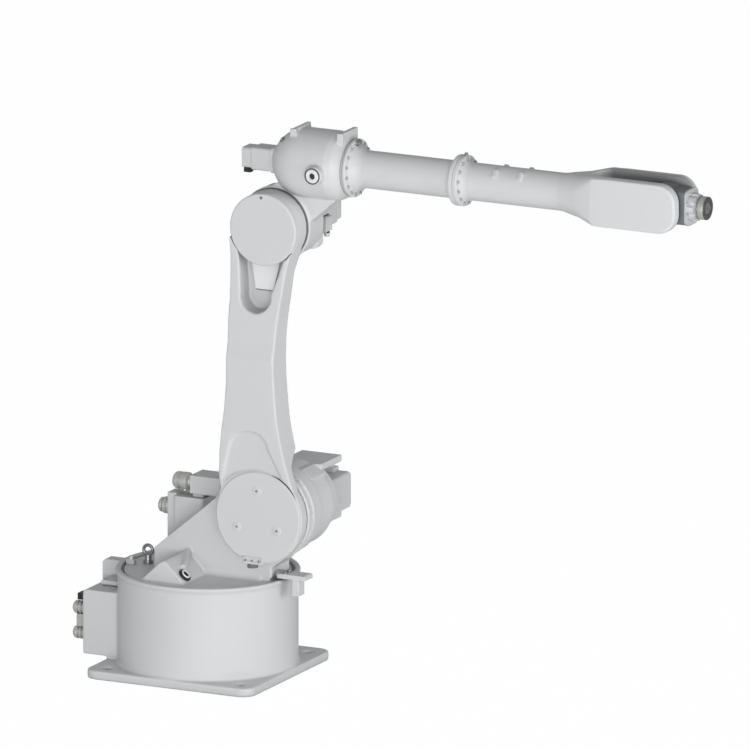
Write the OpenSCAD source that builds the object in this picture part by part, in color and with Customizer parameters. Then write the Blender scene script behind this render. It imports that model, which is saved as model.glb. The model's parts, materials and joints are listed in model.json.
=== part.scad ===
// Six-axis jointed robot arm on a round pedestal.
// Millimetres. +X runs along the forearm, +Z is up, the origin lies under the
// swivel axis on the floor plane. The arm side (-Y) carries the lower arm.

/* [Base] */
// side of the square foot plate
plate_side = 500; // [490:5:540]
// thickness of the foot plate
plate_t = 24; // [20:1:30]
// corner radius of the foot plate
plate_corner = 36; // [24:2:44]
// spacing of the floor bolts
bolt_spacing = 400; // [385:5:415]
// diameter of the floor bolt holes
bolt_hole_d = 22; // [18:1:24]
// outer radius of the pedestal drum
drum_r = 243; // [238:1:244]
// height of the drum rim above the floor
drum_top = 280; // [274:2:300]
// width of the rim around the turntable
rim_w = 10; // [9:0.5:13]
// depth of the connector chamber behind the drum
chamber_depth = 78; // [70:1:90]
// width of the connector chamber
chamber_w = 226; // [200:2:240]
// height of the top of the connector chamber
chamber_top = 208; // [194:1:212]

/* [Shoulder] */
// forward offset of the shoulder axis from the swivel axis
shoulder_x = 225; // [220:1:232]
// height of the shoulder axis above the floor
shoulder_z = 474; // [470:1:500]
// radius of the shoulder reducer
reducer_r = 131; // [126:1:134]
// half thickness of the shoulder casting
wall_half = 55; // [50:1:57]
// side of the shoulder motor frame
shoulder_motor_side = 104; // [96:2:112]
// length of the shoulder motor
shoulder_motor_len = 195; // [170:5:215]
// side of the swivel motor frame
swing_motor_side = 96; // [90:2:100]
// height of the swivel motor above the turntable
swing_motor_h = 171; // [150:1:190]

/* [Lower arm] */
// distance between the shoulder axis and the elbow axis
link_len = 785; // [770:5:830]
// radius of the shoulder end of the lower arm
arm_low_r = 129; // [124:1:132]
// radius of the elbow end of the lower arm
arm_top_r = 99; // [94:1:99]
// thickness of the lower arm at its shoulder end
arm_low_t = 34; // [30:1:38]
// radius of the curve along the front edge
front_curve_r = 1030; // [960:10:1200]
// waist of the lower arm measured forward from the shoulder axis
waist_front = 40; // [34:1:52]
// waist of the lower arm measured back from the shoulder axis
waist_rear = 99; // [94:1:104]

/* [Elbow] */
// rise of the forearm axis above the elbow axis
elbow_rise = 169; // [168:1:185]
// radius of the elbow barrel
barrel_r = 95; // [88:1:96]
// radius of the elbow hub
hub_r = 104; // [98:1:108]
// side of the elbow motor frame
elbow_motor_side = 100; // [90:2:108]
// side of the forearm motor frame
roll_motor_side = 62; // [54:2:66]

/* [Forearm and wrist] */
// distance of the wrist axis from the swivel axis
wrist_x = 1362; // [1340:2:1420]
// radius of the forearm tubes
tube_r = 51; // [48:1:54]
// radius of the root flange of the forearm
root_r = 79; // [76:1:82]
// radius of the middle flanges of the forearm
mid_r = 69; // [66:1:72]
// width of the wrist fork over its covers
fork_w = 150; // [146:1:160]
// height of the wrist fork
fork_h = 134; // [130:1:140]
// width of the slot between the two cheeks
slot_w = 86; // [82:1:90]
// distance of the tool face from the wrist axis
tool_reach = 128; // [126:1:140]
// diameter of the tool flange
tool_d = 63; // [60:1:66]
// bolt circle of the tool flange
tool_pcd = 50; // [48:1:50]

/* [Clearances] */
// gap between turning faces that carry a bearing
seat_gap = 0.3; // [0.3:0.05:0.5]
// gap between bodies that pass each other
run_gap = 6; // [5.5:0.5:7]

/* [Hidden] */
$fn = 96;
eps = 0.01;
floor_z = drum_top - 4;
table_t = 34;
table_r = drum_r - rim_w - run_gap;
table_low = floor_z - table_t;
// the foot plate always leaves some land outside its bolt holes
bolt_land = 30;
foot_side = max(plate_side, bolt_spacing + bolt_hole_d + 2 * bolt_land);
foot_fillet = min(7, foot_side / 2 - drum_r - 0.5);
lip = 6;
chamber_back = drum_r + chamber_depth;

// lower arm planes, measured across the machine
ring_near = -(wall_half + 49);
arm_back = ring_near - run_gap;
arm_face = arm_back - arm_low_t;
cover_t = 6;
waist_back = -(wall_half + run_gap + 1);
top_back = -52;
cap_face = -120;
cap_t = 16;
elbow_z = shoulder_z + link_len;
kink_z = shoulder_z + 431;

// elbow and forearm stations
roll_z = elbow_z + elbow_rise;
hub_near = top_back + run_gap;
hub_far = 80;
dome_x = shoulder_x + 76;
barrel_end = shoulder_x + 209;
root_x = barrel_end + run_gap;
root_t = 10;
mid_x = shoulder_x + 538;
mid_t = 14;
fork_root = wrist_x - 297;
fork_body = fork_root + 112;
slot_root = fork_body + 20;
cover_x = fork_body + 2;
cover_wedge = 60;
fork_end = wrist_x + 65;
fork_cover_t = 8;
cheek_in = slot_w / 2;
cheek_out = fork_w / 2 - fork_cover_t;
wrist_half = cheek_in - run_gap;
tool_face = wrist_x + tool_reach;
tool_t = 18;

paint = [0.82, 0.83, 0.84];
motor_grey = [0.62, 0.63, 0.64];
dark = [0.13, 0.13, 0.14];
steel = [0.66, 0.66, 0.67];

// a square with round corners, centred
module round_square(side_x, side_y, r) {
    square([side_x - 2 * r, side_y], center = true);
    square([side_x, side_y - 2 * r], center = true);
    for (sx = [-1, 1], sy = [-1, 1])
        translate([sx * (side_x / 2 - r), sy * (side_y / 2 - r)])
            circle(r);
}

// a drawing in X and Z pushed across from y0 to y1
module across(y0, y1) {
    translate([0, y1, 0])
        rotate([90, 0, 0])
            linear_extrude(y1 - y0)
                children();
}

// a drawing in Y and Z pushed forward from x0 to x1
module along(x0, x1) {
    translate([x0, 0, 0])
        rotate([90, 0, 90])
            linear_extrude(x1 - x0)
                children();
}

// a drawing of radius against X turned about the X axis
module turn_x() {
    rotate([0, 90, 0])
        rotate_extrude()
            children();
}

// a round bar along Y
module bar_y(r, y0, y1) {
    translate([0, y0, 0])
        rotate([-90, 0, 0])
            cylinder(r = r, h = y1 - y0);
}

// a round bar along X
module bar_x(r, x0, x1) {
    translate([x0, 0, 0])
        rotate([0, 90, 0])
            cylinder(r = r, h = x1 - x0);
}

// a disc along Y whose near edge is bevelled
module bevel_disc_y(r, y0, y1, c) {
    translate([0, y0, 0])
        rotate([-90, 0, 0])
            rotate_extrude()
                polygon([[0, 0], [r - c, 0], [r, c], [r, y1 - y0], [0, y1 - y0]]);
}

// a box between two corners
module block(a, b) {
    translate(a)
        cube(b - a);
}

// angle of the line from a point that touches a circle on its left
function touch_left(p, c, r) = atan2(c[1] - p[1], c[0] - p[0]) + asin(r / norm(c - p));
// angle of the line from a point that touches a circle on its right
function touch_right(p, c, r) = atan2(c[1] - p[1], c[0] - p[0]) - asin(r / norm(c - p));

module drum_profile() {
    difference() {
        union() {
            square([drum_r, drum_top]);
            translate([0, plate_t - eps])
                square([drum_r + foot_fillet, foot_fillet + eps]);
            translate([0, drum_top - 16])
                polygon([[0, 0], [drum_r, 0], [drum_r + lip, 8], [drum_r + lip, 14], [drum_r + lip - 2, 16],
                    [0, 16]]);
        }
        translate([drum_r + foot_fillet, plate_t + foot_fillet])
            circle(foot_fillet);
        // the well of the turntable
        translate([0, table_low - run_gap])
            square([drum_r - rim_w, drum_top]);
    }
    // seat of the swivel bearing
    translate([120, table_low - run_gap - 4])
        square([55, run_gap + 4 - seat_gap]);
}

module chamber_outline() {
    r = 12;
    difference() {
        translate([-chamber_back, plate_t + 6])
            square([chamber_back, chamber_top - plate_t - 6]);
        translate([-chamber_back - eps, chamber_top - r])
            square([r + eps, r + eps]);
    }
    translate([-chamber_back + r, chamber_top - r])
        circle(r);
}

module base_casting() color(paint) {
    difference() {
        union() {
            linear_extrude(plate_t)
                round_square(foot_side, foot_side, plate_corner);
            rotate_extrude()
                drum_profile();
            difference() {
                across(-chamber_w / 2, chamber_w / 2)
                    chamber_outline();
                translate([0, 0, -1])
                    cylinder(r = drum_r - 12, h = drum_top);
                // recess behind the connector panel
                block([-chamber_back - 1, -84, 56], [-chamber_back + 8, 84, 186]);
            }
        }
        for (sx = [-1, 1], sy = [-1, 1])
            translate([sx * bolt_spacing / 2, sy * bolt_spacing / 2, 0]) {
                translate([0, 0, -1])
                    cylinder(d = bolt_hole_d, h = plate_t + 2);
                translate([0, 0, plate_t - 3])
                    cylinder(d = bolt_hole_d + 16, h = 4);
            }
    }
}

lid_t = 15;
lid_back = -chamber_back + 26;
module chamber_lid() color(paint) {
    difference() {
        block([lid_back, -54, chamber_top], [-drum_r + 30, 76, chamber_top + lid_t]);
        cylinder(r = drum_r + seat_gap, h = drum_top);
        // shadow step under the lid
        block([-chamber_back, -60, chamber_top - 1], [0, -49, chamber_top + 4]);
    }
}

stop_y0 = 9;
stop_y1 = 47;
module swing_stop_block() color(paint) {
    z0 = chamber_top + lid_t;
    difference() {
        across(stop_y0, stop_y1)
            polygon([[lid_back - seat_gap, chamber_top], [-chamber_back - 2, chamber_top],
                [-chamber_back - 2, z0 + 34], [-chamber_back + 6, z0 + 42], [-drum_r + 20, z0 + 42],
                [-drum_r + 20, z0], [lid_back - seat_gap, z0]]);
        cylinder(r = drum_r + lip + seat_gap, h = drum_top + 40);
    }
}

// the two round connectors stand one above the other on the panel
connector_y = -48;
power_z = 140;
signal_z = 71;
connector_r = 18;
connector_len = 56;
spigot_r = 10;
module connector_panel() color(dark) {
    difference() {
        union() {
            block([-chamber_back - 4, -82, 58], [-chamber_back + 8, 82, 184]);
            // covered socket above the connectors
            block([-chamber_back - 40, connector_y - 16, power_z + 24],
                [-chamber_back - 4, connector_y + 16, 182]);
        }
        for (z = [power_z, signal_z])
            translate([0, connector_y, z])
                bar_x(spigot_r + seat_gap, -chamber_back - 10, -chamber_back + 10);
    }
}

module connector_shell(z) {
    x0 = -chamber_back - connector_len;
    r = connector_r;
    translate([0, connector_y, z]) {
        bar_x(spigot_r, -chamber_back - 6, -chamber_back + 8);
        turn_x()
            polygon([[0, x0], [r - 5, x0], [r - 1, x0 + 4], [r, x0 + 8], [r, x0 + 14], [r - 3, x0 + 15],
                [r - 3, x0 + 18], [r, x0 + 19], [r, x0 + 25], [r - 3, x0 + 26], [r - 3, x0 + 29],
                [r, x0 + 30], [r, x0 + 38], [r - 5, x0 + 40], [r - 5, x0 + 46], [r, x0 + 48],
                [r, x0 + 52], [0, x0 + 52]]);
    }
}

module power_connector() color(steel) {
    connector_shell(power_z);
    // flat plug between the two round ones
    block([-chamber_back - connector_len + 12, connector_y - 14, signal_z + connector_r + 1],
        [-chamber_back - 4, connector_y + 14, power_z - connector_r + 2]);
}

module signal_connector() color(steel) {
    connector_shell(signal_z);
}

// shoulder casting outline
rear_foot = [-table_r + 27, floor_z];
rear_cut = -table_r + 92;
front_x = table_r - 9;
front_low = drum_top + run_gap;
chin = [front_x, drum_top + run_gap + 27];
shoulder_c = [shoulder_x, shoulder_z];
wall_r = reducer_r - 5;
gear_r = wall_r - 20;
collar_far = -15;
ridge_r = wall_r - 2;
ridge_a = touch_left(rear_foot, shoulder_c, ridge_r);
module wall_outline(r) {
    breast_r = r - 2;
    breast_a = touch_right(chin, shoulder_c, breast_r);
    translate(shoulder_c)
        circle(r);
    difference() {
        polygon([rear_foot, shoulder_c + ridge_r * [cos(ridge_a + 90), sin(ridge_a + 90)], shoulder_c,
            shoulder_c + breast_r * [cos(breast_a - 90), sin(breast_a - 90)], chin, [front_x, front_low],
            [front_x - 8, drum_top], [front_x - 8, floor_z - 10], rear_foot - [0, 10]]);
        // upright rear end
        translate([rear_foot[0] - 10, floor_z - 20])
            square([rear_cut - rear_foot[0] + 10, 200]);
    }
}

// the gable shaped cable outlet beside the wall
gable_x = -38;
gable_h = 59;
gable_near = -190;
gable_half_back = 67;
gable_half_front = 63;
module gable_outline() {
    polygon([[gable_x - gable_half_back, floor_z - 5], [gable_x - gable_half_back, floor_z],
        [gable_x - 9, floor_z + gable_h - 5], [gable_x, floor_z + gable_h],
        [gable_x + 8, floor_z + gable_h - 5], [gable_x + gable_half_front, floor_z],
        [gable_x + gable_half_front, floor_z - 5]]);
}
port_tilt = atan2(gable_half_front - 8, gable_h - 5);
port_up = 16;
port_p = [gable_x + gable_half_front - port_up * tan(port_tilt), -158, floor_z + port_up];

module port_frame() {
    translate(port_p)
        rotate([0, 90 - port_tilt, 0])
            children();
}

// a round rod from one point to another
module rod(a, b, r) {
    d = b - a;
    translate(a)
        rotate([0, acos(d[2] / norm(d)), atan2(d[1], d[0])])
            cylinder(r = r, h = norm(d));
}

// a hollow fillet along X between the floor and the near side of the wall
module foot_cove(x0, x1, r) {
    along(x0, x1)
        difference() {
            translate([-wall_half - r, floor_z - 6])
                square([r + 6, r + 6]);
            translate([-wall_half - r, floor_z + r])
                circle(r * 1.03);
        }
}

module carousel_casting() color(paint) {
    difference() {
        union() {
            translate([0, 0, table_low])
                rotate_extrude()
                    polygon([[0, 0], [table_r, 0], [table_r, table_t - 4], [table_r - 4, table_t],
                        [0, table_t]]);
            // the hub has a wide collar next to the reducer
            across(-wall_half, collar_far)
                wall_outline(wall_r);
            across(collar_far, wall_half)
                wall_outline(gear_r);
            across(gable_near, -wall_half + 5)
                gable_outline();
            foot_cove(rear_cut + 8, front_x - 30, 20);
            // rounded rib from the cable outlet up to the wall
            rod(port_p + [-14, 20, 14], [gable_x + 6, -wall_half + 4, floor_z + gable_h - 2], 10);
        }
        port_frame()
            translate([0, 0, -26])
                cylinder(r = 15, h = 60);
    }
}

module cable_gland() color(dark) {
    port_frame()
        difference() {
            union() {
                cylinder(r = 18, h = 5);
                translate([0, 0, -20])
                    cylinder(r = 14.6, h = 20.5);
            }
            translate([0, 0, -10])
                cylinder(r = 9, h = 30);
        }
}

eye_r = 13;
eye_p = [rear_foot[0] + 30, -20, floor_z];
eye_h = 37;
module lifting_eye() color(steel) {
    translate(eye_p) {
        cylinder(r = 13, h = 8);
        cylinder(r = 9, h = eye_h - eye_r);
        translate([0, 0, eye_h])
            rotate([90, 0, 0])
                rotate_extrude()
                    translate([eye_r, 0])
                        circle(4.5);
    }
}

module limit_dog() color(steel) {
    translate([-table_r + 21, -50, floor_z]) {
        block([-11, -9, 0], [11, 9, 14]);
        translate([0, 0, 14])
            cylinder(r = 7, h = 9);
    }
}

finger_y0 = -51;
finger_y1 = -4;
finger_x = drum_r + 74;
finger_t = 13;
leg_drop = 44;
module swing_stop_finger() color(paint) {
    z0 = front_low;
    across(finger_y0, finger_y1)
        polygon([[front_x + 14, z0], [finger_x, z0], [finger_x, z0 + finger_t - 4],
            [finger_x - 4, z0 + finger_t], [front_x + 18, z0 + finger_t], [front_x + 14, z0 + finger_t - 4]]);
    block([finger_x - 39, finger_y0, z0 - leg_drop], [finger_x - 19, finger_y0 + 35, z0 + 1]);
    // stem that is bolted to the front of the wall
    block([front_x, finger_y0 + 19, z0], [front_x + 16, finger_y1, z0 + finger_t]);
}

swing_x0 = -(table_r - 85);
swing_y0 = wall_half + 7;
module swing_motor() color(motor_grey) {
    s = swing_motor_side;
    translate([swing_x0 + s / 2, swing_y0 + s / 2, floor_z]) {
        linear_extrude(14)
            round_square(s, s, 8);
        linear_extrude(swing_motor_h)
            round_square(s - 6, s - 6, 9);
    }
    // mounting rib on the back of the motor
    block([swing_x0 - 18, swing_y0 + 13, floor_z],
        [swing_x0 + 8, swing_y0 + 60, floor_z + swing_motor_h + 6]);
}

cap_x0 = swing_x0 + 50;
cap_rise = 60;
module swing_motor_cap() color(motor_grey) {
    z0 = floor_z + swing_motor_h;
    block([cap_x0 + 6, swing_y0 + 16, z0], [swing_x0 + swing_motor_side - 8, swing_y0 + 82, z0 + 14]);
    block([cap_x0, swing_y0 + 10, z0 + 10], [cap_x0 + 92, swing_y0 + 86, z0 + cap_rise]);
}

module swing_motor_plug() color(steel) {
    z0 = floor_z + swing_motor_h;
    translate([0, swing_y0 + 36, z0 + 37])
        turn_x()
            polygon([[0, cap_x0 - 56], [18, cap_x0 - 56], [23, cap_x0 - 50], [24, cap_x0 - 40],
                [20, cap_x0 - 38], [20, cap_x0 - 34], [24, cap_x0 - 32], [24, cap_x0 - 14], [16, cap_x0 - 10],
                [16, cap_x0], [0, cap_x0]]);
    x1 = swing_x0 - 18;
    translate([0, swing_y0 + 36, z0 - 36])
        turn_x()
            polygon([[0, x1 - 32], [16, x1 - 32], [20, x1 - 28], [20, x1 - 22], [17, x1 - 21], [17, x1 - 18],
                [23, x1 - 17], [23, x1 - 10], [20, x1 - 9], [20, x1 - 6], [23, x1 - 5], [23, x1], [0, x1]]);
}

module at_shoulder() {
    translate([shoulder_x, 0, shoulder_z])
        children();
}

module at_elbow() {
    translate([shoulder_x, 0, elbow_z])
        children();
}

module at_roll() {
    translate([0, 0, roll_z])
        children();
}

module shoulder_reducer() color(paint) {
    at_shoulder() {
        bevel_disc_y(reducer_r, ring_near, ring_near + 10, 4);
        bar_y(reducer_r - 8, ring_near + 10, -wall_half - 14);
        bar_y(reducer_r - 2, -wall_half - 14, -wall_half);
        bar_y(92, arm_back + seat_gap, ring_near);
        // lugs that bridge the groove
        for (a = [8:36:360])
            rotate([0, -a, 0])
                block([reducer_r - 24, ring_near + 8, -9], [reducer_r - 5, -wall_half - 12, 9]);
    }
}

gear_far = wall_half + 60;
pad_front = reducer_r - 15;
pad_t = 22;
module shoulder_gear_case() color(paint) {
    top = wall_r - 1;
    slope = gear_r * cos(45);
    at_shoulder() {
        bar_y(gear_r, wall_half, gear_far);
        difference() {
            union() {
                // saddle over the hub with a sloping front
                across(collar_far + seat_gap, gear_far)
                    polygon([[0, gear_r - 30], [0, top], [42, top], [slope + 1, slope + 1],
                        [slope - 25, slope - 25]]);
                // lip that overhangs the motor
                across(wall_half - 25, gear_far + 11)
                    polygon([[0, top - pad_t], [0, top], [pad_front, top], [pad_front, top - pad_t + 6],
                        [pad_front - 8, top - pad_t]]);
            }
            bar_y(gear_r + seat_gap, -wall_half, wall_half);
        }
    }
}

stage_len = 128;
motor_top = shoulder_z + 34;
module shoulder_motor() color(motor_grey) {
    s = shoulder_motor_side;
    across(gear_far, gear_far + stage_len)
        translate([shoulder_x, motor_top - s / 2 - 5])
            round_square(s + 5, s + 10, 8);
    across(gear_far + stage_len, gear_far + shoulder_motor_len - 8)
        translate([shoulder_x, motor_top - s / 2 + 2])
            round_square(s, s - 4, 8);
    across(gear_far + shoulder_motor_len - 8, gear_far + shoulder_motor_len)
        translate([shoulder_x, motor_top - s / 2 + 2])
            round_square(s - 6, s - 10, 8);
}

module shoulder_motor_plug() color(motor_grey) {
    translate([shoulder_x, gear_far + shoulder_motor_len - 32, motor_top]) {
        block([-20, -16, 0], [20, 16, 14]);
        translate([0, 0, 14])
            cylinder(r = 13, h = 16);
    }
}

// front edge of the lower arm: one long hollow curve
front_c = [shoulder_x + waist_front + front_curve_r, shoulder_z + link_len * 0.55];
rear_curve_r = 7000;
rear_c = [shoulder_x - waist_rear - rear_curve_r, shoulder_z + link_len * 0.6];
module arm_outline() {
    difference() {
        polygon([[shoulder_x - arm_low_r, shoulder_z], [shoulder_x + arm_low_r, shoulder_z],
            [shoulder_x + arm_top_r, elbow_z], [shoulder_x - arm_top_r, elbow_z]]);
        translate(front_c)
            circle(front_curve_r, $fn = 360);
        translate(rear_c)
            circle(rear_curve_r, $fn = 720);
    }
    translate([shoulder_x, shoulder_z])
        circle(arm_low_r);
    translate([shoulder_x, elbow_z])
        circle(arm_top_r);
}

module arm_side() {
    polygon([[arm_face, shoulder_z - 260], [arm_face, kink_z], [arm_face + 9, kink_z + 38],
        [cap_face, elbow_z - 90], [cap_face, elbow_z + 160], [top_back, elbow_z + 160],
        [top_back, elbow_z - 82], [waist_back, elbow_z - 118], [waist_back, shoulder_z + reducer_r + 50],
        [arm_back, shoulder_z + reducer_r + run_gap + 2], [arm_back, shoulder_z - 260]]);
}

pocket_c = [shoulder_x - 21, elbow_z - 182];
module pocket_outline() {
    translate(pocket_c)
        circle(48);
    polygon([pocket_c + [-47.5, 6], pocket_c + [47.5, 6], [shoulder_x + 72, elbow_z - 50],
        [shoulder_x - 80, elbow_z - 50]]);
}

arch_c = [shoulder_x - 26, shoulder_z + 181];
module arch_outline() {
    difference() {
        union() {
            translate(arch_c)
                circle(52);
            polygon([arch_c + [-51.5, 6], arch_c + [51.5, 6], [shoulder_x + 80, shoulder_z + 90],
                [shoulder_x - 106, shoulder_z + 60]]);
        }
        translate([shoulder_x, shoulder_z])
            circle(arm_low_r - 1);
    }
}

lug_x0 = -48;
lug_x1 = 8;
module lower_arm_casting() color(paint) {
    difference() {
        intersection() {
            across(arm_face - 20, top_back + 20)
                arm_outline();
            along(shoulder_x - 2 * arm_low_r, shoulder_x + 2 * arm_low_r)
                arm_side();
        }
        // seat of the elbow cover
        at_elbow()
            bar_y(arm_top_r + 2, cap_face - 40, cap_face + cap_t);
        // deep pocket below the elbow
        across(arm_face - 20, top_back - 18)
            pocket_outline();
        // shallow arch above the shoulder cover
        across(arm_face - 20, arm_face + 6)
            arch_outline();
    }
    // stop lug under the shoulder end
    difference() {
        at_shoulder()
            block([lug_x0, arm_face - cover_t, -arm_low_r - 2], [lug_x1, arm_back - 2, -arm_low_r + 19]);
        at_shoulder()
            bar_y(arm_low_r - 2, arm_face - 40, arm_face);
    }
}

cover_boss_r = 69;
module shoulder_cover() color(paint) {
    difference() {
        at_shoulder() {
            bevel_disc_y(arm_low_r - 3, arm_face - cover_t, arm_face, 3);
            for (a = [90, 210, 330])
                translate([cover_boss_r * cos(a) - 3, 0, cover_boss_r * sin(a) + 4])
                    bevel_disc_y(12, arm_face - cover_t - 1.6, arm_face - cover_t, 1.2);
        }
        at_shoulder()
            block([lug_x0 - 1, arm_face - cover_t - 10, -arm_low_r - 12],
                [lug_x1 + 1, arm_face + 1, -arm_low_r + 20]);
    }
}

module elbow_cover() color(paint) {
    at_elbow()
        bevel_disc_y(arm_top_r, cap_face, cap_face + cap_t, 3);
}

module pocket_plate() color(paint) {
    across(top_back - 24, top_back - 18)
        polygon([pocket_c + [-22, 8], pocket_c + [32, 8], pocket_c + [50, 84], pocket_c + [-34, 84]]);
}

module arm_bumper() color(dark) {
    at_shoulder()
        translate([(lug_x0 + lug_x1) / 2 - 4, (arm_face + arm_back) / 2 - 4, -arm_low_r - 14])
            cylinder(r = 15, h = 12);
}

module barrel_profile() {
    intersection() {
        union() {
            translate([0, dome_x])
                circle(barrel_r);
            translate([0, dome_x])
                square([barrel_r, barrel_end - 44 - dome_x]);
            polygon([[0, barrel_end - 44], [barrel_r, barrel_end - 44], [barrel_r - 4, barrel_end - 26],
                [root_r + 2, barrel_end - 6], [root_r + 2, barrel_end], [0, barrel_end]]);
        }
        translate([0, dome_x - 200])
            square([barrel_r + 20, 600]);
    }
}

// neck between the hub and the barrel
module neck_outline() {
    polygon([[shoulder_x - 24, elbow_z + hub_r - 4], [shoulder_x, elbow_z],
        [shoulder_x + hub_r - 6, elbow_z + 12], [barrel_end - 34, roll_z - barrel_r + 6],
        [barrel_end - 50, roll_z - 20], [dome_x - barrel_r + 50, roll_z - 20],
        [dome_x - barrel_r + 34, roll_z - 50]]);
}

flange_half = hub_r - 22;
hub_ring = 22;
pad_x = [dome_x - 20, barrel_end - 14];
pad_top = roll_z + barrel_r + 5;
plug_r = 25;
plug_face = -barrel_r - 24;
roll_seat = dome_x - barrel_r - 3;
module at_plug() {
    translate([shoulder_x + 148, 0, roll_z - 6])
        children();
}

module elbow_casting() color(paint) {
    difference() {
        union() {
            at_roll()
                turn_x()
                    barrel_profile();
            at_elbow() {
                bevel_disc_y(hub_r, hub_near, hub_near + hub_ring, 2);
                bar_y(hub_r - 5, hub_near, hub_far - 30);
                across(hub_far - 30, hub_far)
                    round_square(2 * flange_half, 2 * flange_half, 22);
            }
            across(hub_near + 6, 20)
                neck_outline();
            across(20, hub_far - 30)
                intersection() {
                    neck_outline();
                    translate([shoulder_x - 60, elbow_z])
                        square([120, elbow_rise]);
                }
            // spigots that carry the elbow and forearm bearings
            at_elbow()
                bar_y(72, top_back + seat_gap, hub_near);
            at_roll()
                bar_x(60, barrel_end - 1, root_x - seat_gap);
            // seat of the forearm motor
            at_roll()
                along(roll_seat, dome_x)
                    round_square(roll_motor_side + 8, roll_motor_side + 8, 14);
            // two bars for a fitted unit on top
            for (x = pad_x) {
                block([x - 6.5, -48, roll_z + 40], [x + 6.5, 48, pad_top]);
                block([x - 9, -50, pad_top - 26], [x + 9, -42, pad_top]);
            }
            // boss of the oil plug
            at_plug()
                bevel_disc_y(plug_r, plug_face, -barrel_r + 30, 2);
        }
        for (x = pad_x, y = [-34, 34])
            translate([x, y, pad_top - 14])
                cylinder(r = 2.5, h = 20);
        at_plug()
            bar_y(plug_r - 5, plug_face - 10, plug_face + 9);
    }
}

elbow_case_far = hub_far + 90;
module elbow_gear_case() color(paint) {
    at_elbow()
        across(hub_far, elbow_case_far)
            round_square(elbow_motor_side + 20, elbow_motor_side + 20, 12);
}

module elbow_motor() color(motor_grey) {
    at_elbow() {
        across(elbow_case_far, elbow_case_far + 58)
            round_square(elbow_motor_side, elbow_motor_side, 9);
        across(elbow_case_far + 58, elbow_case_far + 90)
            round_square(elbow_motor_side - 8, elbow_motor_side - 8, 11);
    }
}

module elbow_motor_plug() color(dark) {
    at_elbow()
        translate([0, elbow_case_far + 74, -elbow_motor_side / 2 + 4]) {
            block([-18, -13, -12], [18, 13, 0]);
            translate([0, 0, -28])
                cylinder(r = 11, h = 16);
        }
}

roll_motor_end = roll_seat - 87;
module roll_motor() color(motor_grey) {
    at_roll() {
        along(roll_motor_end + 30, roll_seat)
            round_square(roll_motor_side, roll_motor_side, 7);
        along(roll_motor_end, roll_motor_end + 30)
            round_square(roll_motor_side - 6, roll_motor_side - 6, 9);
    }
}

module roll_motor_plug() color(dark) {
    translate([roll_motor_end + 15, 0, roll_z - roll_motor_side / 2 + 3])
        for (y = [-16, 14])
            block([-10, y - 9, -12], [10, y + 9, 0]);
}

module oil_plug() color(steel) {
    at_plug()
        difference() {
            bevel_disc_y(plug_r - 5 - seat_gap, plug_face - 3, plug_face + 9, 3);
            bar_y(9, plug_face - 20, plug_face + 7);
        }
}

module forearm_rear_tube() color(paint) {
    at_roll()
        turn_x()
            polygon([[0, root_x], [root_r - 2, root_x], [root_r, root_x + 2], [root_r, root_x + root_t - 2],
                [root_r - 2, root_x + root_t], [tube_r + 15, root_x + root_t],
                [tube_r + 9, root_x + root_t + 8], [tube_r + 3, root_x + root_t + 19],
                [tube_r, root_x + root_t + 32], [tube_r, mid_x - 30],
                [tube_r + 3, mid_x - 20], [tube_r + 8, mid_x - mid_t], [mid_r - 2, mid_x - mid_t],
                [mid_r, mid_x - mid_t + 2], [mid_r, mid_x], [0, mid_x]]);
}

boss_x = [shoulder_x + 652, shoulder_x + 727];
module forearm_front_tube() color(paint) {
    at_roll() {
        turn_x()
            polygon([[0, mid_x], [mid_r, mid_x], [mid_r, mid_x + mid_t - 2], [mid_r - 2, mid_x + mid_t],
                [tube_r + 8, mid_x + mid_t], [tube_r + 3, mid_x + 20], [tube_r, mid_x + 30],
                [tube_r, fork_root], [0, fork_root]]);
        for (x = boss_x, a = [-45, 45])
            rotate([-a, 0, 0])
                block([x - 7, -12, tube_r - 8], [x + 7, 12, tube_r + 7]);
    }
}

cheek_r = 52;
module cheek_outline(x0, grow) {
    h = fork_h / 2 - grow;
    r = cheek_r - grow;
    x1 = fork_end - grow;
    translate([x0, -h])
        square([x1 - r - x0, 2 * h]);
    translate([x0, -h + r])
        square([x1 - x0, 2 * (h - r)]);
    for (s = [-1, 1])
        translate([x1 - r, s * (h - r)])
            circle(r);
}

// one slice of the flare from the round tube to the fork
module flare_slice(x, w, h, r) {
    along(x, x + 1)
        round_square(w, h, r, $fn = 48);
}

// where a cover lies on the near or far cheek; its rear end runs out in a thin wedge
module cover_room(side) {
    linear_extrude(2 * fork_h, center = true)
        polygon([[cover_x, side * fork_w / 2], [cover_x, side * (fork_w / 2 + 1)],
            [fork_end + 10, side * (fork_w / 2 + 1)], [fork_end + 10, side * cheek_out],
            [cover_x + cover_wedge, side * cheek_out]]);
}

module wrist_fork() color(paint) {
    at_roll()
        difference() {
            union() {
                across(-cheek_out, cheek_out)
                    cheek_outline(fork_body, 0);
                along(fork_body, cover_x + cover_wedge)
                    round_square(fork_w, fork_h, 14);
                // flare from the round tube to the fork
                hull() {
                    flare_slice(fork_root, 2 * tube_r, 2 * tube_r, tube_r - 0.1);
                    flare_slice(fork_root + 24, 2 * tube_r + 9, 2 * tube_r + 9, tube_r);
                }
                hull() {
                    flare_slice(fork_root + 24, 2 * tube_r + 9, 2 * tube_r + 9, tube_r);
                    flare_slice(fork_root + 64, fork_w - 17, fork_h - 17, 42);
                }
                hull() {
                    flare_slice(fork_root + 64, fork_w - 17, fork_h - 17, 42);
                    flare_slice(fork_body - 1, fork_w, fork_h, 18);
                }
            }
            cover_room(-1);
            cover_room(1);
            block([slot_root, -cheek_in, -fork_h], [fork_end + 10, cheek_in, fork_h]);
            // round bottom of the slot
            translate([slot_root, 0, -fork_h])
                cylinder(r = cheek_in, h = 2 * fork_h);
        }
}

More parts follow.
